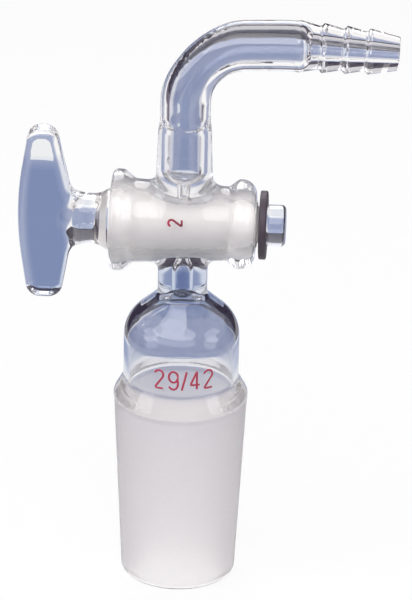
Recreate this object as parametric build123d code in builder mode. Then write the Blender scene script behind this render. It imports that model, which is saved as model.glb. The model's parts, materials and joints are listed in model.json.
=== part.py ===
from build123d import *
from math import atan2, cos, hypot, radians, tan
import os

os.makedirs("parts", exist_ok=True)

# Ground cone at the foot: standard taper 29/42, one unit of diameter lost in ten of length.
cone_large_d = 29.2
cone_length = 42.0
taper_share = 0.1
cone_wall = 2.2
rim_round = 1.6

# Clear shoulder over the ground zone, then the bulb with its domed top.
shoulder_d = 29.8
shoulder_band = 1.2
shoulder_height = 5.2
shoulder_round = 2.0
band_share = 0.9
bulb_d = 25.3
bulb_wall = 1.2
dome_wall = 2.0
flare_foot = 2.6
flare_rise = 0.3
flare_round = 1.5
flare_wall = 1.58
bulb_side = 15.2
dome_slope = 42.0
dome_round = 8.0
neck_round = 2.2

# Thick-walled arms over and under the barrel.
neck_d = 10.8
neck_length = 7.45
arm_root_d = 13.0
arm_tip_d = 11.5
arm_length = 22.5
arm_bore_d = 3.3
arm_floor = 8.2
upper_bore_d = 6.6
upper_floor = 10.0
seal_rise = 1.4
seal_round = 0.8
arm_blend = 2.6

# Barrel with a bead at each end; its tapered bore takes the plug.
barrel_length = 31.4
barrel_large_d = 18.7
bead_large_d = 22.1
bead_large_top = 2.6
bead_large_width = 5.0
bead_large_round = 1.3
bead_small_d = 19.5
bead_small_top = 4.0
bead_small_width = 5.9
bead_small_round = 3.2
bead_blend = 1.5
bore_large_d = 13.3
mouth_break = 0.25

# Tube bent over to the hose side, a little past level at its end.
tube_d = 10.9
tube_bore_d = 7.1
bend_radius = 13.5
rise_over_arm = 4.6
bend_angle = 87.4
level_run = 6.5
droop = 4.9
droop_radius = 50.0
barb_lead = 0.6

# Hose barb: four crests that grow smaller toward the mouth.
barb_count = 4
barb_pitch = 4.95
barb_first_d = 11.2
barb_last_d = 9.9
barb_depth = 0.75
barb_back = 0.6
barb_nose = 6.6
barb_mouth_d = 7.2
barb_bore_d = 4.2
mouth_bore_d = 2.8
barb_round = 0.3
bore_blend = 2.0

# Plug: solid, ground taper, cross bore; the running gap is the grease film.
plug_gap = 0.03
port_d = 2.0
plug_proud = 0.8
plug_shoulder = 2.6
plug_neck_d = 10.2
plug_neck_end = 7.0
plug_root_d = 5.0
plug_root_length = 3.4
small_neck_d = 7.8
small_neck_start = 0.3
knob_d = 9.1
knob_length = 4.05
knob_round = 1.0
plug_blend = 1.2

# Handle blade, square to the barrel when the port is open.
blade_length = 39.4
blade_width = 11.8
blade_thickness = 6.0
blade_reach = 20.3
blade_tip_width = 5.9
blade_low_tip_width = 7.2
blade_flare = 4.9
blade_sink = 0.8
blade_bow = 2.2
blade_corner = 3.2
blade_edge = 1.5
blade_rise = 1.4

# Retaining washer between the barrel's small end and the knob.
washer_d = 15.0
washer_thickness = 1.6
washer_stand_off = 0.85
washer_gap = 0.05

# Every cut runs past its face by this much.
overrun = 5.0

# Heights and radii that follow from the sizes above; the shoulder's round fits the band under its crest.
cone_large_r = cone_large_d / 2
cone_small_r = cone_large_r - cone_length * taper_share / 2
bulb_r = bulb_d / 2
neck_r = neck_d / 2
shoulder_top = cone_length + shoulder_height
crest_out = shoulder_d / 2 - cone_large_r
crest_in = shoulder_d / 2 - bulb_r
crest_turn = atan2(crest_out, shoulder_band) + atan2(crest_in, shoulder_height - shoulder_band)
crest_room = band_share * hypot(crest_out, shoulder_band) / tan(abs(crest_turn) / 2)
crest_round = min(shoulder_round, crest_room)
dome_foot = cone_length + bulb_side + dome_round * tan(radians(45 - dome_slope / 2))
dome_top = dome_foot + (bulb_r - neck_r) * tan(radians(dome_slope))
barrel_z = dome_top + neck_length + barrel_large_d / 2
seal_z = barrel_z + arm_length
bend_z = seal_z + seal_rise + rise_over_arm
barrel_left = -barrel_length / 2
barrel_right = barrel_length / 2
bore_large_r = bore_large_d / 2
bore_small_r = bore_large_r - barrel_length * taper_share / 2
flare_share = (flare_foot - shoulder_band) / (shoulder_height - shoulder_band)
flare_r = shoulder_d / 2 - crest_in * flare_share - flare_wall
dome_extra = (dome_wall - bulb_wall) / cos(radians(dome_slope))
inner_dome_foot = dome_foot - bulb_wall * tan(radians(45 - dome_slope / 2)) - dome_extra
inner_dome_top = inner_dome_foot + (bulb_r - bulb_wall - arm_bore_d / 2) * tan(radians(dome_slope))
barrel_axis = Axis((0, 0, barrel_z), (1, 0, 0))


def barrel_r(x):
    return barrel_large_d / 2 - (x - barrel_left) * taper_share / 2


# The fused glass body: skin first, then the hollows.
with BuildPart() as stopcock_body:
    with BuildSketch(Plane.XZ):
        with BuildLine():
            side = FilletPolyline(
                (0, 0),
                (cone_small_r, 0),
                (cone_large_r, cone_length),
                (shoulder_d / 2, cone_length + shoulder_band),
                (bulb_r, shoulder_top),
                (bulb_r, dome_foot),
                (neck_r, dome_top),
                (neck_r, barrel_z),
                (0, barrel_z),
                radius=[rim_round, 0, crest_round, seal_round, dome_round, neck_round, 0],
            )
            Line(side @ 1, side @ 0)
        make_face()
    revolve(axis=Axis.Z)
    with BuildSketch(Plane.XZ):
        with BuildLine():
            side = FilletPolyline(
                (barrel_left, barrel_z),
                (barrel_left, barrel_z + bead_large_d / 2),
                (barrel_left + bead_large_top, barrel_z + bead_large_d / 2),
                (barrel_left + bead_large_width, barrel_z + barrel_r(barrel_left + bead_large_width)),
                (barrel_right - bead_small_width, barrel_z + barrel_r(barrel_right - bead_small_width)),
                (barrel_right - bead_small_top, barrel_z + bead_small_d / 2),
                (barrel_right, barrel_z + bead_small_d / 2),
                (barrel_right, barrel_z),
                radius=[
                    bead_large_round,
                    bead_blend,
                    bead_blend,
                    bead_blend,
                    bead_blend,
                    bead_small_round,
                ],
            )
            Line(side @ 1, side @ 0)
        make_face()
    revolve(axis=barrel_axis)
    with BuildSketch(Plane.XZ):
        with BuildLine():
            side = FilletPolyline(
                (0, barrel_z),
                (arm_root_d / 2, barrel_z),
                (arm_tip_d / 2, seal_z),
                (tube_d / 2, seal_z + seal_rise),
                (0, seal_z + seal_rise),
                radius=[0, seal_round, 0],
            )
            Line(side @ 1, side @ 0)
        make_face()
    revolve(axis=Axis.Z)
    fillet(stopcock_body.edges().filter_by(GeomType.BSPLINE), radius=arm_blend)
    with BuildLine(Plane.XZ) as bend_path:
        rise = Line((0, seal_z + seal_rise), (0, bend_z))
        turn = JernArc(rise @ 1, (0, 1), bend_radius, -bend_angle)
        level = Line(turn @ 1, turn @ 1 + (turn % 1) * level_run)
        fall = JernArc(level @ 1, level % 1, droop_radius, -droop)
    fall_end = bend_path.line @ 1
    fall_way = bend_path.line % 1
    with BuildSketch(Plane(bend_path.line @ 0, x_dir=(1, 0, 0), z_dir=(0, 0, 1))):
        Circle(tube_d / 2)
    sweep(path=bend_path.line)
    barb_plane = Plane(fall_end, x_dir=fall_way, z_dir=(0, -1, 0))
    barb_axis = Axis(fall_end, fall_way)
    crest_step = (barb_first_d - barb_last_d) / 2 / (barb_count - 1)
    crests = [(barb_lead + n * barb_pitch, barb_first_d / 2 - n * crest_step) for n in range(barb_count)]
    barb_points = [(0, 0), (0, tube_d / 2), crests[0]]
    for along, height in crests[1:]:
        barb_points.append((along - barb_back, height - barb_depth))
        barb_points.append((along, height))
    barb_end = crests[-1][0] + barb_nose
    barb_points += [(barb_end, barb_mouth_d / 2), (barb_end, 0)]
    with BuildSketch(barb_plane):
        with BuildLine():
            side = FilletPolyline(*barb_points, radius=[0] + [barb_round] * (len(barb_points) - 3))
            Line(side @ 1, side @ 0)
        make_face()
    revolve(axis=barb_axis)
    with BuildSketch(Plane.XZ):
        with BuildLine():
            side = FilletPolyline(
                (0, -overrun),
                (cone_small_r - cone_wall - overrun * taper_share / 2, -overrun),
                (cone_large_r - cone_wall, cone_length),
                (flare_r, cone_length + flare_foot),
                (bulb_r - bulb_wall, shoulder_top + flare_rise),
                (bulb_r - bulb_wall, inner_dome_foot),
                (arm_bore_d / 2, inner_dome_top),
                (arm_bore_d / 2, barrel_z - arm_floor),
                (port_d / 2, barrel_z - arm_floor + arm_bore_d / 2),
                (port_d / 2, barrel_z),
                (0, barrel_z),
                radius=[0, 0, flare_round, flare_round, dome_round - bulb_wall, neck_round, 0, 0, 0],
            )
            Line(side @ 1, side @ 0)
        make_face()
    revolve(axis=Axis.Z, mode=Mode.SUBTRACT)
    with BuildSketch(Plane.XZ):
        with BuildLine():
            side = FilletPolyline(
                (0, barrel_z),
                (port_d / 2, barrel_z),
                (port_d / 2, barrel_z + upper_floor),
                (upper_bore_d / 2, barrel_z + upper_floor),
                (upper_bore_d / 2, seal_z),
                (tube_bore_d / 2, seal_z + seal_rise),
                (0, seal_z + seal_rise),
                radius=[0, 0, (upper_bore_d - port_d) / 2, seal_round, 0],
            )
            Line(side @ 1, side @ 0)
        make_face()
    revolve(axis=Axis.Z, mode=Mode.SUBTRACT)
    with BuildSketch(Plane(bend_path.line @ 0, x_dir=(1, 0, 0), z_dir=(0, 0, 1))):
        Circle(tube_bore_d / 2)
    sweep(path=bend_path.line, mode=Mode.SUBTRACT)
    with BuildSketch(barb_plane):
        with BuildLine():
            Polyline(
                (0, 0),
                (0, tube_bore_d / 2),
                (bore_blend, barb_bore_d / 2),
                (barb_end, mouth_bore_d / 2),
                (barb_end + overrun, mouth_bore_d / 2),
                (barb_end + overrun, 0),
                close=True,
            )
        make_face()
    revolve(axis=barb_axis, mode=Mode.SUBTRACT)
    with BuildSketch(Plane.XZ):
        with BuildLine():
            Polyline(
                (barrel_left - overrun, barrel_z),
                (barrel_left - overrun, barrel_z + bore_large_r + overrun * taper_share / 2),
                (barrel_right + overrun, barrel_z + bore_small_r - overrun * taper_share / 2),
                (barrel_right + overrun, barrel_z),
                close=True,
            )
        make_face()
    revolve(axis=barrel_axis, mode=Mode.SUBTRACT)
stopcock_body.part.label = "stopcock_body"

# Handle blade, rounded all along its edges.
handle_x = barrel_left - blade_reach
tip_x = handle_x + blade_bow
flare_x = handle_x + blade_width
root_x = barrel_left - plug_neck_end
neck_x = barrel_left - plug_proud - plug_shoulder
neck_half = plug_neck_d / 2 - blade_sink
high_z = barrel_z + blade_rise + blade_length / 2
low_z = barrel_z + blade_rise - blade_length / 2
with BuildPart() as blade:
    with BuildSketch(Plane.XZ):
        with BuildLine():
            ThreePointArc((tip_x, low_z), (handle_x, barrel_z), (tip_x, high_z))
            FilletPolyline(
                (tip_x, high_z),
                (tip_x + blade_tip_width, high_z),
                (flare_x, barrel_z + neck_half),
                (neck_x - blade_sink, barrel_z + neck_half),
                (neck_x - blade_sink, barrel_z - neck_half),
                (flare_x, barrel_z - neck_half),
                (tip_x + blade_low_tip_width, low_z),
                (tip_x, low_z),
                radius=[blade_corner, blade_flare, 0, 0, blade_flare, blade_corner],
            )
        make_face()
    extrude(amount=blade_thickness / 2, both=True)
    fillet(blade.edges().filter_by(Axis.Y).group_by(Axis.X)[0], radius=blade_corner)
    fillet(blade.faces().sort_by(Axis.Y)[0].edges(), radius=blade_edge)
    fillet(blade.faces().sort_by(Axis.Y)[-1].edges(), radius=blade_edge)

# The plug with its knob, necks, port and blade.
with BuildPart() as plug:
    proud_x = barrel_left - plug_proud
    groove_x = barrel_right + small_neck_start
    knob_x = barrel_right + washer_stand_off + washer_thickness
    with BuildSketch(Plane.XZ):
        with BuildLine():
            side = FilletPolyline(
                (root_x - plug_root_length, barrel_z),
                (root_x - plug_root_length, barrel_z + plug_root_d / 2),
                (root_x, barrel_z + plug_neck_d / 2),
                (neck_x, barrel_z + plug_neck_d / 2),
                (proud_x, barrel_z + bore_large_r - plug_gap + plug_proud * taper_share / 2),
                (
                    groove_x,
                    barrel_z + bore_small_r - plug_gap - small_neck_start * taper_share / 2,
                ),
                (groove_x, barrel_z + small_neck_d / 2),
                (knob_x, barrel_z + small_neck_d / 2),
                (knob_x, barrel_z + knob_d / 2),
                (knob_x + knob_length, barrel_z + knob_d / 2),
                (knob_x + knob_length, barrel_z),
                radius=[plug_blend, plug_blend, plug_blend, plug_blend, mouth_break, 0, 0, 0, knob_round],
            )
            Line(side @ 1, side @ 0)
        make_face()
    revolve(axis=barrel_axis)
    add(blade.part)
    with Locations((0, 0, barrel_z)):
        Cylinder(radius=port_d / 2, height=bore_large_d + 2 * overrun, mode=Mode.SUBTRACT)
plug.part.label = "plug"

# The washer.
with BuildPart() as retaining_washer:
    with BuildSketch(Plane.YZ.offset(barrel_right + washer_stand_off)):
        with Locations((0, barrel_z)):
            Circle(washer_d / 2)
            Circle(small_neck_d / 2 + washer_gap, mode=Mode.SUBTRACT)
    extrude(amount=washer_thickness)
retaining_washer.part.label = "retaining_washer"

export_step(stopcock_body.part, "parts/stopcock_body.step")
export_step(plug.part, "parts/plug.step")
export_step(retaining_washer.part, "parts/retaining_washer.step")
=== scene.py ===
import json
from math import ceil, cos, pi, radians, sin, tan

import bpy
import numpy as np
from mathutils import Matrix, Vector


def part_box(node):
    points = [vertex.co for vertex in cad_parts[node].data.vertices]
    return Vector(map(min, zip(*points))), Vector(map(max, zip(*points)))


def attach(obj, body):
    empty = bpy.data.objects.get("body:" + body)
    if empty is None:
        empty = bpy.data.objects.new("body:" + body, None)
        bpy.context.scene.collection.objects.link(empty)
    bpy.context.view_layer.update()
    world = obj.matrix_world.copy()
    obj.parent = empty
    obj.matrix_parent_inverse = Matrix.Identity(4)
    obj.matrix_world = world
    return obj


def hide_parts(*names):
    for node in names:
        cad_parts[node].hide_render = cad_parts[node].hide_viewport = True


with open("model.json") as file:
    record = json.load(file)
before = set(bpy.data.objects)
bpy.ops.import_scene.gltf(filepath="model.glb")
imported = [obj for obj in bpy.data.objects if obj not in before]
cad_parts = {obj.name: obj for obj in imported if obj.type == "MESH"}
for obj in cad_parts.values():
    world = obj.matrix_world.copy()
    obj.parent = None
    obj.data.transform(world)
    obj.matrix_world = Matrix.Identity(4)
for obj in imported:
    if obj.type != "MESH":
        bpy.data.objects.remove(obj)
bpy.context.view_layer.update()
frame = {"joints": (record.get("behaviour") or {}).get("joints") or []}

# Glass body. Blown borosilicate glass, all fused into one piece: a cone ground matt to seat in a standard
# socket, a bulb with a domed top, two thick arms round the barrel, and a tube bent over to a hose barb.
# The skins are drawn as signed distances in millimetres, which lets the melted seams run into each other.
mm = 0.001
overrun = 5.0
taper = 0.05
barrel_z = frame["joints"][0]["pos_m"][2] / mm

cone_length = 42.0
cone_large_r = 14.6
cone_small_r = cone_large_r - cone_length * taper
cone_wall = 2.2
rim_round = 1.6
shoulder_r = 14.9
shoulder_band = 1.2
shoulder_height = 5.2
shoulder_top = cone_length + shoulder_height
shoulder_round = 2.0
foot_round = 2.0
flare_foot = 2.6
flare_rise = 0.3
flare_round = 1.5

bulb_r = 12.65
bulb_wall = 1.2
bulb_bore_r = bulb_r - bulb_wall
bulb_side = 15.2
dome_wall = 2.0
dome_angle = radians(42)
dome_slope = tan(dome_angle)
dome_bend = tan(pi / 4 - dome_angle / 2)
dome_round = 8.0
dome_foot = cone_length + bulb_side + dome_round * dome_bend
inner_foot = dome_foot - bulb_wall * dome_bend - (dome_wall - bulb_wall) / cos(dome_angle)
neck_r = 5.4
neck_round = 2.2
dome_top = dome_foot + (bulb_r - neck_r) * dome_slope

arm_root_r = 6.5
arm_tip_r = 5.75
arm_length = 22.5
arm_bore_r = 1.65
arm_floor = 8.2
arm_blend = 2.6
upper_bore_r = 3.3
upper_floor = 10.0
port_r = 1.0
seal_rise = 1.4
seal_round = 0.8
seal_z = barrel_z + arm_length
seal_top = seal_z + seal_rise

barrel_half = 15.7
barrel_large_r = 9.35
bead_large_r = 11.05
bead_large_top = 2.6
bead_large_width = 5.0
bead_large_round = 1.3
bead_small_r = 9.75
bead_small_top = 4.0
bead_small_width = 5.9
bead_small_round = 3.2
bead_blend = 1.5
bore_large_r = 6.65

tube_r = 5.45
tube_bore_r = 3.55
rise_length = 4.6
bend_z = seal_top + rise_length
bend_radius = 13.5
bend_turn = radians(87.4)
bend_flat_share = 0.16
bend_steps = 90
bend_margin = 14.0
level_run = 6.5
droop_radius = 50.0
droop_turn = radians(4.9)
droop_steps = 24

crest_count = 4
crest_lead = 0.6
crest_pitch = 4.95
crest_first_r = 5.6
crest_last_r = 4.95
crest_depth = 0.75
crest_back = 0.6
crest_round = 0.3
nose_length = 6.6
mouth_r = 3.6
barb_sink = 2.0
barb_bore_r = 2.1
mouth_bore_r = 1.4
bore_sink = 1.0
bore_blend = 2.0
edge_round = 0.5
bore_edge = 0.3
body_cell = 0.51


def rounded(points, radii, chord=0.12):
    """A profile through points, each inner corner an arc of its radius drawn in short chords."""
    points = [np.array(p, float) for p in points]
    line = [points[0]]
    for before, corner, after, radius in zip(points, points[1:], points[2:], radii):
        back = (before - corner) / np.linalg.norm(before - corner)
        ahead = (after - corner) / np.linalg.norm(after - corner)
        half = np.arccos(np.clip(back @ ahead, -1, 1)) / 2
        turn = pi - 2 * half
        steps = ceil(turn * radius / chord)
        if steps == 0:
            line.append(corner)
            continue
        middle = (back + ahead) / np.linalg.norm(back + ahead) * radius / sin(half)
        first = back * radius / tan(half) - middle
        last = ahead * radius / tan(half) - middle
        for n in range(steps + 1):
            share = turn * n / steps
            line.append(corner + middle + (first * sin(turn - share) + last * sin(share)) / sin(turn))
    line.append(points[-1])
    return np.array(line)


def table(line, value, step=0.1, margin=3.0, inset=0.001):
    """A field over the plane of a line, worked out once on a fine grid and read between the grid's points."""
    low = line.min(0) - margin
    if line[:, 0].min() >= 0:
        low[0] = max(low[0], 0)
    count = np.ceil((line.max(0) + margin - low) / step).astype(int) + 1
    axes = [low[n] + step * np.arange(count[n]) for n in (0, 1)]
    grid = value(*np.meshgrid(*axes, indexing="ij"))

    def read(u, v):
        a = (u - low[0]) / step
        b = (v - low[1]) / step
        a_in = np.clip(a, 0, count[0] - 1 - inset)
        b_in = np.clip(b, 0, count[1] - 1 - inset)
        i = a_in.astype(int)
        j = b_in.astype(int)
        s = a_in - i
        t = b_in - j
        near = grid[i, j] * (1 - s) + grid[i + 1, j] * s
        far = grid[i, j + 1] * (1 - s) + grid[i + 1, j + 1] * s
        return near * (1 - t) + far * t + step * np.hypot(a - a_in, b - b_in)

    return read


def outline(line):
    """Signed distance, negative inside, to a closed line: a turned shape's profile or a flat shape's edge."""

    def value(u, v):
        gap = np.full(u.shape, np.inf)
        inside = np.zeros(u.shape, bool)
        for (p0, p1), (q0, q1) in zip(line, line[1:]):
            e0 = q0 - p0
            e1 = q1 - p1
            along = np.clip(((u - p0) * e0 + (v - p1) * e1) / (e0 * e0 + e1 * e1), 0, 1)
            gap = np.minimum(gap, (u - p0 - along * e0) ** 2 + (v - p1 - along * e1) ** 2)
            if e1:
                inside ^= ((p1 > v) != (q1 > v)) & (u < p0 + e0 * (v - p1) / e1)
        return np.where(inside, -1, 1) * np.sqrt(gap)

    return table(line, value)


def join(a, b, radius):
    """Union of two shapes, the corner between them filled to that radius."""
    fill = np.hypot(np.maximum(radius - a, 0), np.maximum(radius - b, 0))
    return np.maximum(radius, np.minimum(a, b)) - fill


def cut(a, hollow, radius):
    """One shape less another, the edge between them rounded to that radius."""
    return -join(-a, hollow, radius)


def fade(value, start, end):
    """0 where a value is at start or before it, 1 at end or past it, and a straight slope between."""
    return np.clip((value - start) / (end - start), 0, 1)


def level(field, low, high, cell, passes=4, least_slope=0.2):
    """Points, normals and quads of the closed skin on which a field is zero."""
    axes = [np.arange(a - cell, b + 2 * cell, cell) for a, b in zip(low, high)]
    value = field(*np.meshgrid(*axes, indexing="ij"))
    inside = value < 0
    shape = [n - 1 for n in value.shape]
    corners = [(a, b, c) for a in (0, 1) for b in (0, 1) for c in (0, 1)]

    def at(source, corner):
        return source[tuple(slice(o, o + n) for o, n in zip(corner, shape))]

    filled = sum(at(inside, c).astype(np.int8) for c in corners)
    cells = np.argwhere((filled > 0) & (filled < len(corners)))
    number = np.full(shape, -1)
    number[tuple(cells.T)] = np.arange(len(cells))
    total = np.zeros((len(cells), 3))
    hits = np.zeros((len(cells), 1))
    for a in corners:
        for axis in range(3):
            if a[axis]:
                continue
            b = tuple(1 if n == axis else a[n] for n in range(3))
            va = value[tuple((cells + a).T)]
            vb = value[tuple((cells + b).T)]
            crossed = (va < 0) != (vb < 0)
            spot = np.tile(np.array(a, float), (len(cells), 1))
            spot[:, axis] = va / np.where(crossed, va - vb, 1)
            total += spot * crossed[:, None]
            hits += crossed[:, None]
    points = np.array([a[0] for a in axes]) + cell * (cells + total / hits)

    def slope(p, reach=0.06):
        steps = np.eye(3) * reach
        return np.stack([field(*(p + s).T) - field(*(p - s).T) for s in steps], 1) / (2 * reach)

    for _ in range(passes):
        way = slope(points)
        move = way * (field(*points.T) / np.maximum((way ** 2).sum(1), least_slope))[:, None]
        points -= np.clip(move, -cell / 2, cell / 2)
    normals = slope(points)
    normals /= np.linalg.norm(normals, axis=1, keepdims=True)
    quads = []
    for axis in range(3):
        b = (axis + 1) % 3
        c = (axis + 2) % 3
        near = inside.take(range(0, inside.shape[axis] - 1), axis)
        far = inside.take(range(1, inside.shape[axis]), axis)
        for start, outward in ((near & ~far, 1), (far & ~near, -1)):
            spots = np.argwhere(start)
            ring = []
            for over_b, over_c in ((1, 1), (0, 1), (0, 0), (1, 0))[::outward]:
                spot = spots.copy()
                spot[:, b] -= over_b
                spot[:, c] -= over_c
                ring.append(number[tuple(spot.T)])
            quads.append(np.stack(ring, 1))
    return points, normals, np.concatenate(quads)


def skin(name, shape, masks):
    """A smooth object of that shape, with each mask kept as a value on its points."""
    points, normals, quads = shape
    mesh = bpy.data.meshes.new(name)
    mesh.from_pydata((points * mm).tolist(), [], quads.tolist())
    mesh.polygons.foreach_set("use_smooth", np.ones(len(mesh.polygons), bool))
    mesh.normals_split_custom_set_from_vertices(normals.tolist())
    for label, values in masks.items():
        attribute = mesh.attributes.new(label, "FLOAT", "POINT")
        attribute.data.foreach_set("value", values.astype(np.float32))
    piece = bpy.data.objects.new(name, mesh)
    bpy.context.scene.collection.objects.link(piece)
    return piece


def barrel_r(x):
    """The barrel's outer radius at a place along it."""
    return barrel_large_r - (x + barrel_half) * taper


lower_skin = outline(rounded(
    [
        (0, 0),
        (cone_small_r, 0),
        (cone_large_r, cone_length),
        (shoulder_r, cone_length + shoulder_band),
        (bulb_r, shoulder_top),
        (bulb_r, dome_foot),
        (neck_r, dome_top),
        (neck_r, barrel_z),
        (0, barrel_z),
    ],
    [rim_round, 0, shoulder_round, foot_round, dome_round, neck_round, 0]))
lower_hollow = outline(rounded(
    [
        (0, -overrun),
        (cone_small_r - cone_wall - overrun * taper, -overrun),
        (cone_large_r - cone_wall + flare_foot * taper, cone_length + flare_foot),
        (bulb_bore_r, shoulder_top + flare_rise),
        (bulb_bore_r, inner_foot),
        (arm_bore_r, inner_foot + (bulb_bore_r - arm_bore_r) * dome_slope),
        (arm_bore_r, barrel_z - arm_floor),
        (port_r, barrel_z - arm_floor + 2 * arm_bore_r),
        (port_r, barrel_z),
        (0, barrel_z),
    ],
    [0, flare_round, flare_round, dome_round - bulb_wall, neck_round, 0, 0, 0]))
barrel_skin = outline(rounded(
    [
        (0, -barrel_half),
        (bead_large_r, -barrel_half),
        (bead_large_r, bead_large_top - barrel_half),
        (barrel_r(bead_large_width - barrel_half), bead_large_width - barrel_half),
        (barrel_r(barrel_half - bead_small_width), barrel_half - bead_small_width),
        (bead_small_r, barrel_half - bead_small_top),
        (bead_small_r, barrel_half),
        (0, barrel_half),
    ],
    [bead_large_round, bead_blend, bead_blend, bead_blend, bead_blend, bead_small_round]))
upper_skin = outline(rounded(
    [
        (0, barrel_z),
        (arm_root_r, barrel_z),
        (arm_tip_r, seal_z),
        (tube_r, seal_top),
        (tube_r, bend_z),
        (0, bend_z),
    ],
    [0, seal_round, seal_round, 0]))
upper_hollow = outline(rounded(
    [
        (0, barrel_z),
        (port_r, barrel_z),
        (port_r, barrel_z + upper_floor),
        (upper_bore_r, barrel_z + upper_floor),
        (upper_bore_r, seal_z),
        (tube_bore_r, seal_top),
        (tube_bore_r, bend_z),
        (0, bend_z),
    ],
    [0, 0, upper_bore_r - port_r, seal_round, seal_round, 0]))

# The bend's middle line in the XZ plane, and each stretch's share of the flattening on the outer side.
turns = np.linspace(0, bend_turn, bend_steps)
bend = np.stack([bend_radius * (1 - np.cos(turns)), bend_z + bend_radius * np.sin(turns)], 1)
level_way = np.array([sin(bend_turn), cos(bend_turn)])
level_end = bend[-1] + level_way * level_run
falls = np.linspace(0, droop_turn, droop_steps)[:, None]
fall_side = np.array([cos(bend_turn), -sin(bend_turn)])
fall = level_end + droop_radius * (np.sin(falls) * level_way + (1 - np.cos(falls)) * fall_side)
route = np.concatenate([[(0, seal_top)], bend, fall])
flat = np.concatenate([[0], np.sin(pi * turns / bend_turn) ** 2, np.zeros(droop_steps - 1)]) * bend_flat_share
barb_at = fall[-1]
barb_way = level_way * cos(droop_turn) + fall_side * sin(droop_turn)


def bend_offset(u, v):
    """Distance from the bend's middle line, stretched on the outer side where the tube is flattened."""
    best = np.full(u.shape, np.inf)
    gap = np.zeros(u.shape)
    for (p0, p1), (q0, q1), squeeze in zip(route, route[1:], flat):
        e0 = q0 - p0
        e1 = q1 - p1
        along = np.clip(((u - p0) * e0 + (v - p1) * e1) / (e0 * e0 + e1 * e1), 0, 1)
        r0 = u - p0 - along * e0
        r1 = v - p1 - along * e1
        near = np.hypot(r0, r1)
        outer = e0 * r1 - e1 * r0 > 0
        closer = near < best
        gap = np.where(closer, np.where(outer, near / (1 - squeeze), near), gap)
        best = np.minimum(best, near)
    return gap


bend_gap = table(route, bend_offset, margin=bend_margin)
crest_drop = (crest_first_r - crest_last_r) / (crest_count - 1)
crests = [(crest_first_r - n * crest_drop, crest_lead + n * crest_pitch) for n in range(crest_count)]
barb_line = [(0, -barb_sink), (tube_r, -barb_sink), (tube_r, 0), crests[0]]
for height, along in crests[1:]:
    barb_line += [(height - crest_depth, along - crest_back), (height, along)]
barb_end = crests[-1][1] + nose_length
barb_line += [(mouth_r, barb_end), (0, barb_end)]
barb_skin = outline(rounded(barb_line, [0, 0] + [crest_round] * (len(barb_line) - 4)))
barb_hollow = outline(np.array([
    (0, -bore_sink),
    (tube_bore_r, -bore_sink),
    (tube_bore_r, 0),
    (barb_bore_r, bore_blend),
    (mouth_bore_r, barb_end),
    (mouth_bore_r, barb_end + overrun),
    (0, barb_end + overrun),
]))


def along_barb(x, y, z):
    """Radius from the barb's axis, and place along it."""
    along = (x - barb_at[0]) * barb_way[0] + (z - barb_at[1]) * barb_way[1]
    return np.hypot(y, (z - barb_at[1]) * barb_way[0] - (x - barb_at[0]) * barb_way[1]), along


def body_ways(x, y, z):
    """The hollows that gas flows through: cone and bulb, arms, bend and barb."""
    across = np.hypot(x, y)
    arms = np.minimum(lower_hollow(across, z), upper_hollow(across, z))
    tube = np.hypot(bend_gap(x, z), y) - tube_bore_r
    return np.minimum(np.minimum(arms, tube), barb_hollow(*along_barb(x, y, z)))


def body_bore(x, y, z):
    """The barrel's tapered bore."""
    bore = np.hypot(y, z - barrel_z) - bore_large_r + (x + barrel_half) * taper
    return np.maximum(bore, np.abs(x) - barrel_half - overrun)


def body_field(x, y, z):
    """The whole glass body: arms and barrel blended, the tube and the barb, less the hollows and the bore."""
    across = np.hypot(x, y)
    arms = np.minimum(lower_skin(across, z), upper_skin(across, z))
    solid = join(arms, barrel_skin(np.hypot(y, z - barrel_z), x), arm_blend)
    tube = np.hypot(bend_gap(x, z), y) - tube_r
    solid = np.minimum(np.minimum(solid, tube), barb_skin(*along_barb(x, y, z)))
    return cut(cut(solid, body_ways(x, y, z), edge_round), body_bore(x, y, z), bore_edge)


low, high = (np.array(v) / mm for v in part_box("stopcock_body"))
body_shape = level(body_field, low, high, body_cell)
x, y, z = body_shape[0].T
across = np.hypot(x, y)

# What the grinding wheel touched: the cone's outside up to a line round it, and the barrel's bore.
ground_over = 0.8
rim_clear = 1.3
bore_depth = 0.4
cone_outside = across - cone_small_r - z * taper + cone_wall / 2
cone_ground = np.minimum(np.minimum(cone_length + ground_over - z, cone_outside), z - rim_clear)
bore_ground = np.minimum(bore_depth - body_bore(x, y, z), barrel_half - np.abs(x))
grey_fade = 0.3
on_cone = fade(cone_ground, -grey_fade, 0)

# Painted reflection: how much of the surroundings' blue-grey is painted into the glass's colour: most in the
# thick lower arm, less in the tube and the bulb, and not at all about the ground zones.
hollow_fade = 0.5
blue_fade = 2.0
clear_fade = 3.0
arm_halo = 2.0
bulb_blue_drop = 1.0
bulb_blue_foot = shoulder_top - bulb_blue_drop
hollow_blue_share = 0.30
tube_blue_share = 0.30
bulb_blue_share = 0.40
upper_arm_blue_share = 0.24
lower_arm_blue_share = 1.02
in_hollow = 1 - fade(body_ways(x, y, z), 0, hollow_fade)
in_tube = fade(z, dome_top, dome_top + blue_fade)
in_arm = fade(across, tube_r + arm_halo, tube_r + arm_halo / 2) * fade(z, seal_z, seal_z - blue_fade)
in_bulb = fade(z, bulb_blue_foot, bulb_blue_foot + clear_fade) * fade(z, dome_top + blue_fade, dome_top)
off_barrel = fade(barrel_skin(np.hypot(y, z - barrel_z), x), 0, clear_fade)
off_cone = fade(z, cone_length + clear_fade, cone_length + 2 * clear_fade)
hollow_painted_blue = in_hollow * (hollow_blue_share + tube_blue_share * in_tube)
arm_painted_blue = in_arm * np.where(z > barrel_z, upper_arm_blue_share, lower_arm_blue_share)
bulb_painted_blue = bulb_blue_share * in_bulb * (1 - in_hollow)
body_painted_blue = np.maximum(np.maximum(hollow_painted_blue, arm_painted_blue), bulb_painted_blue) * off_barrel * off_cone
body_masks = {"ground": np.maximum(cone_ground, bore_ground), "painted_blue": body_painted_blue, "grey": on_cone}
body = skin("glass_body_skin", body_shape, body_masks)


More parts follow.
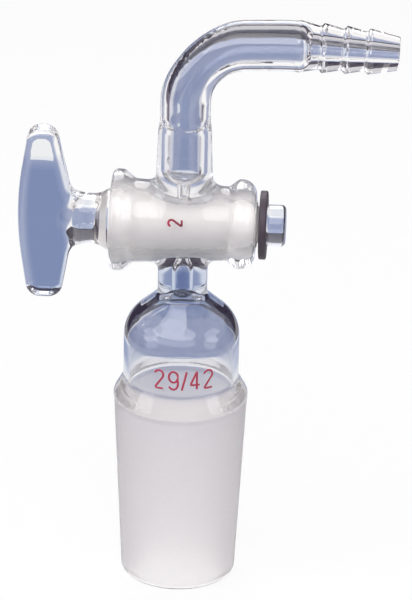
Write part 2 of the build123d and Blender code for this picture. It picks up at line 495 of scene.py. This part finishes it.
def worked(tree, operation, *values):
    """A maths node of a tree, on sockets and plain numbers."""
    node = tree.nodes.new("ShaderNodeMath")
    node.operation = operation
    for socket, value in zip(node.inputs, values):
        if isinstance(value, float):
            socket.default_value = value
        else:
            tree.links.new(value, socket)
    return node.outputs[0]


def ranged(tree, value, span, onto=(0, 1), smooth=False):
    """One span of a value mapped onto another, straight or with eased ends."""
    node = tree.nodes.new("ShaderNodeMapRange")
    node.interpolation_type = "SMOOTHSTEP" if smooth else "LINEAR"
    for end, before, after in zip(("Min", "Max"), span, onto):
        node.inputs["From " + end].default_value = before
        node.inputs["To " + end].default_value = after
    tree.links.new(value, node.inputs["Value"])
    return node.outputs["Result"]


def mixed(tree, share, first, second, blend="MIX"):
    """Two colours blended by a share; each colour is a socket or is the same all over."""
    node = tree.nodes.new("ShaderNodeMix")
    node.data_type = "RGBA"
    node.blend_type = blend
    tree.links.new(share, node.inputs["Factor"])
    for socket, colour in ((node.inputs["A"], first), (node.inputs["B"], second)):
        if isinstance(colour, tuple):
            socket.default_value = (*colour, 1)
        else:
            tree.links.new(colour, socket)
    return node.outputs["Result"]


def noise(tree, scale, detail):
    """Noise over the object's own coordinates."""
    place = tree.nodes.new("ShaderNodeTexCoord")
    node = tree.nodes.new("ShaderNodeTexNoise")
    node.inputs["Scale"].default_value = scale
    node.inputs["Detail"].default_value = detail
    tree.links.new(place.outputs["Object"], node.inputs["Vector"])
    return node.outputs["Fac"]


def bumped(tree, height, reach, before=None):
    """Normals tilted by a height, over earlier normals if there are any."""
    node = tree.nodes.new("ShaderNodeBump")
    node.inputs["Distance"].default_value = reach
    tree.links.new(height, node.inputs["Height"])
    if before:
        tree.links.new(before, node.inputs["Normal"])
    return node.outputs["Normal"]


def masked(tree, label):
    """A mask that is kept on a mesh's points."""
    node = tree.nodes.new("ShaderNodeAttribute")
    node.attribute_name = label
    return node.outputs["Fac"]


glass_index = 1.474
# Painted reflection: the blue-grey that the glass shows of its surroundings, painted into its colour.
painted_backdrop_blue = (0.56, 0.62, 0.75)
cone_grey = (0.91, 0.885, 0.915)
ground_edge = 0.15
grain_scale = 1500
grain_detail = 5
grain_relief = 0.00003
wave_scale = 90
wave_detail = 1
wave_relief = 0.00010
noise_span = (0.3, 0.7)
grey_spread = (0.75, 1.25)
rough_spread = (0.85, 1.15)


def glass(name, frosted, roughness, transmission):
    """Glass, clear where it was blown, with a painted reflection: the blue-grey of the surroundings painted
    into its colour where its blue mask is above 0; matt and pale where its mask ground is above 0.
    """
    material = bpy.data.materials.new(name)
    material.use_nodes = True
    tree = material.node_tree
    shader = tree.nodes["Principled BSDF"]
    shader.inputs["IOR"].default_value = glass_index
    edge = ranged(tree, masked(tree, "ground"), (-ground_edge, ground_edge), smooth=True)
    grain = noise(tree, grain_scale, grain_detail)
    patchy = worked(tree, "MULTIPLY", masked(tree, "grey"), ranged(tree, grain, noise_span, grey_spread))
    tone_and_painted_blue = mixed(tree, masked(tree, "painted_blue"), frosted, painted_backdrop_blue)
    tone_and_painted_blue = mixed(tree, ranged(tree, patchy, (0, 1)), tone_and_painted_blue, cone_grey, "MULTIPLY")
    tree.links.new(tone_and_painted_blue, shader.inputs["Base Color"])
    rough = ranged(tree, grain, noise_span, [roughness * share for share in rough_spread])
    tree.links.new(worked(tree, "MULTIPLY", edge, rough), shader.inputs["Roughness"])
    tree.links.new(ranged(tree, edge, (0, 1), (1, transmission)), shader.inputs["Transmission Weight"])
    blown = worked(tree, "MULTIPLY", ranged(tree, edge, (0, 1), (1, 0)), noise(tree, wave_scale, wave_detail))
    wave = bumped(tree, blown, wave_relief)
    relief = bumped(tree, worked(tree, "MULTIPLY", edge, grain), grain_relief, wave)
    tree.links.new(relief, shader.inputs["Normal"])
    return material


blown_glass = glass("blown_glass", frosted=(0.97, 0.955, 0.95), roughness=0.5, transmission=0.8)
body.data.materials.append(blown_glass)
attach(body, "glass_body")
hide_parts("stopcock_body")

# Plug. Solid glass, turned and ground to the barrel's taper, with a cross bore, a blade handle pressed flat
# while hot, and a knob at the thin end. It sits in the barrel on a film of grease and turns in it.
plug_gap = 0.03
plug_proud = 0.8
proud_x = -barrel_half - plug_proud
plug_shoulder = 2.6
neck_x = proud_x - plug_shoulder
plug_neck_r = 5.1
plug_neck_end = 7.0
root_x = -barrel_half - plug_neck_end
root_length = 3.4
root_end = root_x - root_length
root_r = 2.5
plug_blend = 1.2
groove_start = 0.3
groove_x = barrel_half + groove_start
groove_edge = 0.25
groove_round = 0.4
small_neck_r = 3.9
knob_start = 2.45
knob_x = barrel_half + knob_start
knob_length = 4.05
knob_end = knob_x + knob_length
knob_r = 4.55
knob_round = 1.0
knob_root_round = 0.3
knob_back_round = 0.6
taper_start_r = bore_large_r - plug_gap + plug_proud * taper
taper_end_r = bore_large_r - plug_gap - (2 * barrel_half + groove_start) * taper
port_edge = 0.2
plug_cell = 0.33

blade_reach = 20.3
handle_x = -barrel_half - blade_reach
blade_width = 11.8
flare_x = handle_x + blade_width
blade_bow = 2.2
blade_bow_r = 70.0
blade_bow_rise = 0.82
tip_x = handle_x + blade_bow
blade_rise = 1.4
blade_middle = barrel_z + blade_rise
blade_half = 19.7
blade_top = blade_middle + blade_half
blade_low = blade_middle - blade_half
blade_top_width = 5.9
blade_low_width = 7.2
blade_corner = 3.2
blade_flare = 4.9
blade_edge = 1.5
blade_half_thick = 3.0
blade_root = 4.3
blade_join = 2.0

rod_skin = outline(rounded(
    [
        (0, root_end),
        (root_r, root_end),
        (plug_neck_r, root_x),
        (plug_neck_r, neck_x),
        (taper_start_r, proud_x),
        (taper_end_r, groove_x),
        (small_neck_r, groove_x),
        (small_neck_r, knob_x),
        (knob_r, knob_x),
        (knob_r, knob_end),
        (0, knob_end),
    ],
    [plug_blend] * 4 + [groove_edge, groove_round, knob_root_round, knob_back_round, knob_round]))
blade_outline = outline(rounded(
    [
        (neck_x, barrel_z),
        (neck_x, barrel_z + blade_root),
        (flare_x, barrel_z + blade_root),
        (tip_x + blade_top_width, blade_top),
        (tip_x, blade_top),
        (handle_x - blade_bow_rise, blade_middle),
        (tip_x, blade_low),
        (tip_x + blade_low_width, blade_low),
        (flare_x, barrel_z - blade_root),
        (neck_x, barrel_z - blade_root),
        (neck_x, barrel_z),
    ],
    [0, blade_flare, blade_corner, blade_corner, blade_bow_r, blade_corner, blade_corner, blade_flare, 0]))


def plug_field(x, y, z):
    """The turned rod and the blade with its rounded edges, melted together, less the cross bore."""
    rod = rod_skin(np.hypot(y, z - barrel_z), x)
    inward = blade_outline(x, z) + blade_edge
    over = np.abs(y) - blade_half_thick + blade_edge
    rim = np.hypot(np.maximum(inward, 0), np.maximum(over, 0))
    blade = np.minimum(np.maximum(inward, over), 0) + rim - blade_edge
    return cut(join(rod, blade, blade_join), np.hypot(x, y) - port_r, port_edge)


low, high = (np.array(v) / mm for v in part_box("plug"))
plug_shape = level(plug_field, low, high, plug_cell)
x, y, z = plug_shape[0].T

# The taper is ground. Painted reflection: the blade is painted blue inside its clear edge and below its top,
# which stays clear as a painted highlight of light from above; the neck and the knob are painted half as
# blue.
ground_start = 0.4
blade_clear_edge = 0.84
blade_blue_edge = 2.24
blade_clear_top = 7.0
blade_blue_top = blade_top - blade_clear_top
end_blue_share = 0.5
on_taper = np.minimum(x - proud_x - ground_start, groove_x - x)
taper_ground = np.minimum(on_taper, np.hypot(y, z - barrel_z) - small_neck_r)
from_bow = x - handle_x - blade_bow * ((z - blade_middle) / blade_half) ** 2
from_edge = np.minimum(from_bow, -blade_outline(x, np.maximum(z, barrel_z)))
in_blade = fade(from_edge, blade_clear_edge, blade_blue_edge)
in_blade *= fade(z, blade_blue_top, blade_blue_top - blue_fade)
in_blade *= fade(x, flare_x, flare_x - blue_fade)
in_neck = fade(x, neck_x, neck_x - blue_fade) * fade(x, flare_x, flare_x + clear_fade)
in_knob = fade(x, knob_x, knob_x + knob_round)
plug_painted_blue = np.maximum(in_blade, end_blue_share * np.maximum(in_neck, in_knob))
plug = skin("glass_plug_skin", plug_shape, {"ground": taper_ground, "painted_blue": plug_painted_blue})
turned_glass = glass("turned_glass", frosted=(0.99, 0.975, 0.965), roughness=0.4, transmission=0.05)
plug.data.materials.append(turned_glass)
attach(plug, "turning_plug")
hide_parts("plug")

# Retaining washer. A ring of dark rubber on the plug's thin neck, held between the barrel's end and the knob,
# which it keeps from being pulled out.
washer_gap = 0.05
washer_in = small_neck_r + washer_gap
washer_out = 7.5
washer_thick = 1.6
washer_x = knob_x - washer_thick
washer_edge = 0.35
washer_sides = 128
washer_edge_steps = 6


def speckled(name, scale, detail, dark, light, roughness, relief):
    """An opaque material whose colour, roughness and relief all follow one fine noise."""
    material = bpy.data.materials.new(name)
    material.use_nodes = True
    tree = material.node_tree
    shader = tree.nodes["Principled BSDF"]
    grain = noise(tree, scale, detail)
    tree.links.new(mixed(tree, grain, dark, light), shader.inputs["Base Color"])
    tree.links.new(ranged(tree, grain, (0, 1), roughness), shader.inputs["Roughness"])
    tree.links.new(bumped(tree, grain, relief), shader.inputs["Normal"])
    return material


rubber = speckled(
    "dark_rubber", scale=900, detail=4, dark=(0.030, 0.020, 0.032), light=(0.065, 0.042, 0.062),
    roughness=(0.45, 0.70), relief=0.0001)

ring_tree = bpy.data.node_groups.new("rubber_ring", "GeometryNodeTree")
ring_in = {n: ring_tree.interface.new_socket(n, in_out="INPUT", socket_type="NodeSocketFloat").identifier
           for n in ("Middle radius", "Width", "Thickness", "Edge")}
ring_tree.interface.new_socket("Geometry", in_out="OUTPUT", socket_type="NodeSocketGeometry")
nodes, links = ring_tree.nodes, ring_tree.links
sizes = nodes.new("NodeGroupInput")
circle = nodes.new("GeometryNodeCurvePrimitiveCircle")
circle.inputs["Resolution"].default_value = washer_sides
section = nodes.new("GeometryNodeCurvePrimitiveQuadrilateral")
corner = nodes.new("GeometryNodeFilletCurve")
corner.mode = "POLY"
corner.inputs["Count"].default_value = washer_edge_steps
sweep = nodes.new("GeometryNodeCurveToMesh")
smooth = nodes.new("GeometryNodeSetShadeSmooth")
real = nodes.new("GeometryNodeRealizeInstances")
coat = nodes.new("GeometryNodeSetMaterial")
coat.inputs["Material"].default_value = rubber
done = nodes.new("NodeGroupOutput")
links.new(sizes.outputs["Middle radius"], circle.inputs["Radius"])
links.new(sizes.outputs["Width"], section.inputs["Width"])
links.new(sizes.outputs["Thickness"], section.inputs["Height"])
links.new(section.outputs["Curve"], corner.inputs["Curve"])
links.new(sizes.outputs["Edge"], corner.inputs["Radius"])
links.new(circle.outputs["Curve"], sweep.inputs["Curve"])
links.new(corner.outputs["Curve"], sweep.inputs["Profile Curve"])
links.new(sweep.outputs["Mesh"], smooth.inputs["Geometry"])
links.new(smooth.outputs["Geometry"], real.inputs["Geometry"])
links.new(real.outputs["Geometry"], coat.inputs["Geometry"])
links.new(coat.outputs["Geometry"], done.inputs["Geometry"])


def grown(name, tree, values, place, paths=None):
    """A plain mesh grown by a node tree with these inputs, from paths if it needs any, moved to its place."""
    seed = bpy.data.objects.new(name + "_seed", paths or bpy.data.meshes.new(name + "_seed"))
    bpy.context.scene.collection.objects.link(seed)
    modifier = seed.modifiers.new("grow", "NODES")
    modifier.node_group = tree
    for identifier, value in values.items():
        modifier[identifier] = value
    depsgraph = bpy.context.evaluated_depsgraph_get()
    mesh = bpy.data.meshes.new_from_object(seed.evaluated_get(depsgraph), depsgraph=depsgraph)
    bpy.data.objects.remove(seed)
    mesh.transform(place)
    piece = bpy.data.objects.new(name, mesh)
    bpy.context.scene.collection.objects.link(piece)
    return piece


washer_middle = Vector((washer_x + washer_thick / 2, 0, barrel_z)) * mm
washer_place = Matrix.Translation(washer_middle) @ Matrix.Rotation(pi / 2, 4, "Y")
washer = grown("rubber_washer", ring_tree, {
    ring_in["Middle radius"]: (washer_in + washer_out) / 2 * mm,
    ring_in["Width"]: (washer_out - washer_in) * mm,
    ring_in["Thickness"]: washer_thick * mm,
    ring_in["Edge"]: washer_edge * mm,
}, washer_place)
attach(washer, "turning_plug")
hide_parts("retaining_washer")

# Print. Red enamel, screened on and fired: the taper's size on the bulb, and the bore's size on the barrel.
# Each number is drawn flat by a pen of the stroke's width, then wrapped round the glass just off its surface.
print_lift = 0.02
print_film = 0.05
print_stroke = 0.46
bulb_print_z = 51.8
bulb_print_turn = radians(6.75)
bulb_print_size = 4.25
bulb_print_text = (("2", -6.66), ("9", -3.41), ("/", -0.53), ("4", 1.32), ("2", 4.41))
barrel_print_x = -1.4
barrel_print_r = barrel_r(barrel_print_x)
barrel_print_turn = radians(-22)
barrel_print_size = 2.9
barrel_print_text = (("2", -0.7),)

enamel = speckled(
    "red_enamel", scale=1500, detail=2, dark=(0.34, 0.016, 0.050), light=(0.50, 0.035, 0.085),
    roughness=(0.25, 0.45), relief=0.00002)

print_tree = bpy.data.node_groups.new("wrapped_print", "GeometryNodeTree")
print_tree.interface.new_socket("Geometry", in_out="INPUT", socket_type="NodeSocketGeometry")
print_in = {n: print_tree.interface.new_socket(n, in_out="INPUT", socket_type="NodeSocketFloat").identifier
            for n in ("Stroke", "Film", "Radius", "Taper")}
print_tree.interface.new_socket("Geometry", in_out="OUTPUT", socket_type="NodeSocketGeometry")
nodes, links = print_tree.nodes, print_tree.links
sizes = nodes.new("NodeGroupInput")
path = nodes.new("GeometryNodeMeshToCurve")
upright = nodes.new("GeometryNodeSetCurveNormal")
upright.mode = "Z_UP"
nib = nodes.new("GeometryNodeCurvePrimitiveQuadrilateral")
draw = nodes.new("GeometryNodeCurveToMesh")
draw.inputs["Fill Caps"].default_value = True
spot = nodes.new("GeometryNodeInputPosition")
parts = nodes.new("ShaderNodeSeparateXYZ")
wrapped = nodes.new("ShaderNodeCombineXYZ")
wrap = nodes.new("GeometryNodeSetPosition")
real = nodes.new("GeometryNodeRealizeInstances")
coat = nodes.new("GeometryNodeSetMaterial")
coat.inputs["Material"].default_value = enamel
done = nodes.new("NodeGroupOutput")
links.new(sizes.outputs["Geometry"], path.inputs["Mesh"])
links.new(path.outputs["Curve"], upright.inputs["Curve"])
links.new(sizes.outputs["Stroke"], nib.inputs["Width"])
links.new(sizes.outputs["Film"], nib.inputs["Height"])
links.new(upright.outputs["Curve"], draw.inputs["Curve"])
links.new(nib.outputs["Curve"], draw.inputs["Profile Curve"])
links.new(spot.outputs["Position"], parts.inputs["Vector"])
angle = worked(print_tree, "DIVIDE", parts.outputs["X"], sizes.outputs["Radius"])
lean = worked(print_tree, "MULTIPLY", parts.outputs["Y"], sizes.outputs["Taper"])
lifted = worked(print_tree, "ADD", sizes.outputs["Radius"], parts.outputs["Z"])
reach = worked(print_tree, "ADD", lifted, lean)
sideways = worked(print_tree, "MULTIPLY", reach, worked(print_tree, "SINE", angle))
outward = worked(print_tree, "MULTIPLY", reach, worked(print_tree, "COSINE", angle))
links.new(sideways, wrapped.inputs["X"])
links.new(parts.outputs["Y"], wrapped.inputs["Y"])
links.new(outward, wrapped.inputs["Z"])
links.new(draw.outputs["Mesh"], wrap.inputs["Geometry"])
links.new(wrapped.outputs["Vector"], wrap.inputs["Position"])
links.new(wrap.outputs["Geometry"], real.inputs["Geometry"])
links.new(real.outputs["Geometry"], coat.inputs["Geometry"])
links.new(coat.outputs["Geometry"], done.inputs["Geometry"])

# Each figure is one or two strokes of the pen in a box one unit high.
arc_steps = 24
figure_w = 0.47
figure_half = figure_w / 2
figure_middle = 0.5
pen_turn = 0.06
pen_chord = pen_turn / 4


def arc(x, y, across, up, start, end):
    """Points along part of an ellipse, from one angle in degrees to another."""
    turns = [radians(start + (end - start) * n / arc_steps) for n in range(arc_steps + 1)]
    return [(x + across * cos(turn), y + up * sin(turn)) for turn in turns]


nine_ring = arc(figure_half, 0.70, figure_half, 0.30, 0, 360)
nine_tail = arc(figure_half, 0.28, figure_half, 0.28, 0, -155)
figures = {
    "2": (arc(figure_half, 0.76, figure_half, 0.24, 165, -30) + [(0.0, 0.0), (figure_w, 0.0)],),
    "9": (nine_ring + [(figure_w, 0.45)] + nine_tail,),
    "4": ([(0.34, 0.0), (0.34, 1.0)], [(0.34, 1.0), (0.0, 0.25), (0.50, 0.25)]),
    "/": ([(0.0, -0.04), (0.24, 1.0)],),
}


def stroked(name, size, text):
    """A mesh of the pen's paths, each figure at its start along the line; arcs stay as they are drawn."""
    points = []
    edges = []
    for figure, start in text:
        for stroke in figures[figure]:
            last = len(stroke) - 2
            turns = [pen_turn if n == last or last < arc_steps else 0 for n in range(1, last + 1)]
            first = len(points)
            line = rounded(stroke, turns, pen_chord)
            points += [((u * size + start) * mm, (v - figure_middle) * size * mm, 0) for u, v in line]
            edges += [(first + n, first + n + 1) for n in range(len(line) - 1)]
    mesh = bpy.data.meshes.new(name)
    mesh.from_pydata(points, edges, [])
    return mesh


bulb_middle = Matrix.Translation((0, 0, bulb_print_z * mm))
bulb_place = bulb_middle @ Matrix.Rotation(bulb_print_turn, 4, "Z") @ Matrix.Rotation(pi / 2, 4, "X")
barrel_middle = Matrix.Translation((barrel_print_x * mm, 0, barrel_z * mm))
along_barrel = Matrix(((0, -1, 0, 0), (0, 0, -1, 0), (1, 0, 0, 0), (0, 0, 0, 1)))
barrel_place = barrel_middle @ Matrix.Rotation(barrel_print_turn, 4, "X") @ along_barrel
for name, size, text, radius, lean, place in (
        ("bulb_numbers", bulb_print_size, bulb_print_text, bulb_r, 0.0, bulb_place),
        ("barrel_number", barrel_print_size, barrel_print_text, barrel_print_r, taper, barrel_place)):
    numbers = grown(name, print_tree, {
        print_in["Stroke"]: print_stroke * mm,
        print_in["Film"]: print_film * mm,
        print_in["Radius"]: (radius + print_lift + print_film / 2) * mm,
        print_in["Taper"]: lean,
    }, place, stroked(name, size, text))
    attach(numbers, "glass_body")

# Studio, in metres: a white table, four soft boxes and a dim room. The camera sees the table white, with a
# soft shadow. What the glass bends or mirrors of it is white near the object, blue-grey in a strip before
# and behind that, and dusky far out at the sides.
floor_radius = 0.7
floor_sides = 96
near_span = (0.10, 0.119)
strip_span = (0.075, 0.115)
dusk_span = (0.17, 0.24)
table_white = (1.0, 1.0, 1.0)
strip_blue = (0.37, 0.42, 0.59)
dusk = (0.16, 0.13, 0.18)
camera_share = 0.92

floor_mesh = bpy.data.meshes.new("floor")
floor_turns = [2 * pi * n / floor_sides for n in range(floor_sides)]
floor_rim = [(floor_radius * cos(turn), floor_radius * sin(turn), 0) for turn in floor_turns]
floor_mesh.from_pydata(floor_rim, [], [range(floor_sides)])
floor = bpy.data.objects.new("floor", floor_mesh)
bpy.context.scene.collection.objects.link(floor)
paper = bpy.data.materials.new("white_table")
paper.use_nodes = True
tree = paper.node_tree
nodes, links = tree.nodes, tree.links
matt = nodes["Principled BSDF"]
matt.inputs["Base Color"].default_value = (0.8, 0.8, 0.8, 1)
matt.inputs["Roughness"].default_value = 0.9
path = nodes.new("ShaderNodeLightPath")
spot = nodes.new("ShaderNodeTexCoord")
away = nodes.new("ShaderNodeVectorMath")
away.operation = "LENGTH"
links.new(spot.outputs["Object"], away.inputs[0])
parts = nodes.new("ShaderNodeSeparateXYZ")
links.new(spot.outputs["Object"], parts.inputs["Vector"])
aside = worked(tree, "ABSOLUTE", parts.outputs["X"])
off_foot = ranged(tree, away.outputs["Value"], near_span, smooth=True)
in_strip = ranged(tree, aside, strip_span, (1, 0), smooth=True)
pool = mixed(tree, worked(tree, "MULTIPLY", off_foot, in_strip), table_white, strip_blue)
glow = nodes.new("ShaderNodeEmission")
links.new(mixed(tree, ranged(tree, aside, dusk_span, smooth=True), pool, dusk), glow.inputs["Color"])
by_glass = nodes.new("ShaderNodeMixShader")
glass_rays = worked(tree, "MAXIMUM", path.outputs["Is Glossy Ray"], path.outputs["Is Transmission Ray"])
links.new(glass_rays, by_glass.inputs["Fac"])
links.new(matt.outputs["BSDF"], by_glass.inputs[1])
links.new(glow.outputs["Emission"], by_glass.inputs[2])
white = nodes.new("ShaderNodeEmission")
by_camera = nodes.new("ShaderNodeMixShader")
links.new(worked(tree, "MULTIPLY", path.outputs["Is Camera Ray"], camera_share), by_camera.inputs["Fac"])
links.new(by_glass.outputs["Shader"], by_camera.inputs[1])
links.new(white.outputs["Emission"], by_camera.inputs[2])
links.new(by_camera.outputs["Shader"], nodes["Material Output"].inputs["Surface"])
floor.data.materials.append(paper)

# A small white sheet on the table, out of the picture, that glows though it is no lamp: hidden from the
# camera, from diffuse light and from shadows, it shows through the top of the handle as a painted highlight.
sheet_left = -0.053
sheet_right = -0.039
sheet_near = 0.2215
sheet_far = 0.255
sheet_lift = 0.001
sheet_mesh = bpy.data.meshes.new("glowing_highlight_sheet")
sheet_corners = (
    (sheet_left, sheet_near, sheet_lift),
    (sheet_right, sheet_near, sheet_lift),
    (sheet_right, sheet_far, sheet_lift),
    (sheet_left, sheet_far, sheet_lift),
)
sheet_mesh.from_pydata(sheet_corners, [], [range(len(sheet_corners))])
sheet = bpy.data.objects.new("glowing_highlight_sheet", sheet_mesh)
bpy.context.scene.collection.objects.link(sheet)
sheet.visible_camera = False
sheet.visible_diffuse = False
sheet.visible_shadow = False
highlight_glow = bpy.data.materials.new("highlight_glow")
highlight_glow.use_nodes = True
nodes, links = highlight_glow.node_tree.nodes, highlight_glow.node_tree.links
sheet_glow = nodes.new("ShaderNodeEmission")
sheet_glow.inputs["Color"].default_value = (0.90, 0.92, 0.93, 1)
links.new(sheet_glow.outputs["Emission"], nodes["Material Output"].inputs["Surface"])
sheet.data.materials.append(highlight_glow)

# A low dark card that bends round behind the object, out of the picture, and draws the glass's dark edges.
card_radius = 0.45
card_height = 0.24
card_sides = 64
card_sweep = radians(200)
card_mesh = bpy.data.meshes.new("black_card")
card_turns = [(pi - card_sweep) / 2 + card_sweep * n / card_sides for n in range(card_sides + 1)]
card_rim = [(card_radius * cos(turn), card_radius * sin(turn)) for turn in card_turns]
card_points = [(x, y, height) for height in (0, card_height) for x, y in card_rim]
card_faces = [(n, n + 1, n + card_sides + 2, n + card_sides + 1) for n in range(card_sides)]
card_mesh.from_pydata(card_points, [], card_faces)
card = bpy.data.objects.new("black_card", card_mesh)
bpy.context.scene.collection.objects.link(card)
card.visible_camera = False
felt = bpy.data.materials.new("black_felt")
felt.use_nodes = True
felt_shader = felt.node_tree.nodes["Principled BSDF"]
felt_shader.inputs["Base Color"].default_value = (0.035, 0.024, 0.050, 1)
felt_shader.inputs["Roughness"].default_value = 1.0
card.data.materials.append(felt)

# The room is dim as a light, and pale where the camera or the glass sees it.
world = bpy.data.worlds.new("room")
bpy.context.scene.world = world
world.use_nodes = True
tree = world.node_tree
nodes, links = tree.nodes, tree.links
dim = nodes["Background"]
dim.inputs["Color"].default_value = (0.10, 0.10, 0.12, 1)
bright = nodes.new("ShaderNodeBackground")
bright.inputs["Color"].default_value = (0.66, 0.65, 0.68, 1)
path = nodes.new("ShaderNodeLightPath")
mirrored = worked(tree, "MAXIMUM", path.outputs["Is Camera Ray"], path.outputs["Is Glossy Ray"])
seen = worked(tree, "MAXIMUM", mirrored, path.outputs["Is Transmission Ray"])
by_sight = nodes.new("ShaderNodeMixShader")
links.new(seen, by_sight.inputs["Fac"])
links.new(dim.outputs["Background"], by_sight.inputs[1])
links.new(bright.outputs["Background"], by_sight.inputs[2])
links.new(by_sight.outputs["Shader"], nodes["World Output"].inputs["Surface"])

# The soft boxes all face the object's middle. The one behind lights it, and isn't seen through the glass.
lamp_target = Vector((0, 0, 0.07))
for name, place, size, power in (
        ("back_box", (-0.12, 0.70, 0.63), (0.9, 0.6), 5),
        ("front_box", (-0.20, -0.60, 0.95), (1.8, 0.9), 13),
        ("left_box", (-0.8, -0.3, 0.45), (0.6, 0.6), 2.0),
        ("right_box", (0.8, -0.2, 0.45), (0.6, 0.6), 2.0)):
    lamp = bpy.data.lights.new(name, "AREA")
    lamp.shape = "ELLIPSE"
    lamp.size, lamp.size_y = size
    lamp.energy = power
    lamp_object = bpy.data.objects.new(name, lamp)
    lamp_object.visible_camera = False
    lamp_object.visible_transmission = name != "back_box"
    aim = lamp_target - Vector(place)
    lamp_object.matrix_world = Matrix.Translation(place) @ aim.to_track_quat("-Z", "Y").to_matrix().to_4x4()
    bpy.context.scene.collection.objects.link(lamp_object)

# Camera: about 25 degrees above, a touch to the hose side, rolled as the photo is. Light is followed through
# enough bounces to cross the plug in its barrel.
bpy.context.scene.view_settings.view_transform = "Standard"
bpy.context.scene.cycles.max_bounces = 24
bpy.context.scene.cycles.diffuse_bounces = 8
bpy.context.scene.cycles.glossy_bounces = 12
bpy.context.scene.cycles.transmission_bounces = 24
target = Vector((0.0052, 0, 0.0656))
distance = 1.3
elevation = radians(25)
azimuth = radians(3)
roll = radians(1.1)
pixels_per_m = 4580
picture_pixels = 600
sensor = 24
back = Vector((sin(azimuth) * cos(elevation), -cos(azimuth) * cos(elevation), sin(elevation)))
right = Vector((cos(azimuth), sin(azimuth), 0))
up = back.cross(right)
side = right * cos(roll) + up * sin(roll)
top = up * cos(roll) - right * sin(roll)
camera_data = bpy.data.cameras.new("camera")
camera_data.sensor_fit = "VERTICAL"
camera_data.sensor_height = sensor
camera_data.lens = sensor * pixels_per_m * distance / picture_pixels
camera = bpy.data.objects.new("camera", camera_data)
facing = Matrix((side, top, back)).transposed().to_4x4()
camera.matrix_world = Matrix.Translation(target + back * distance) @ facing
bpy.context.scene.collection.objects.link(camera)
bpy.context.scene.camera = camera
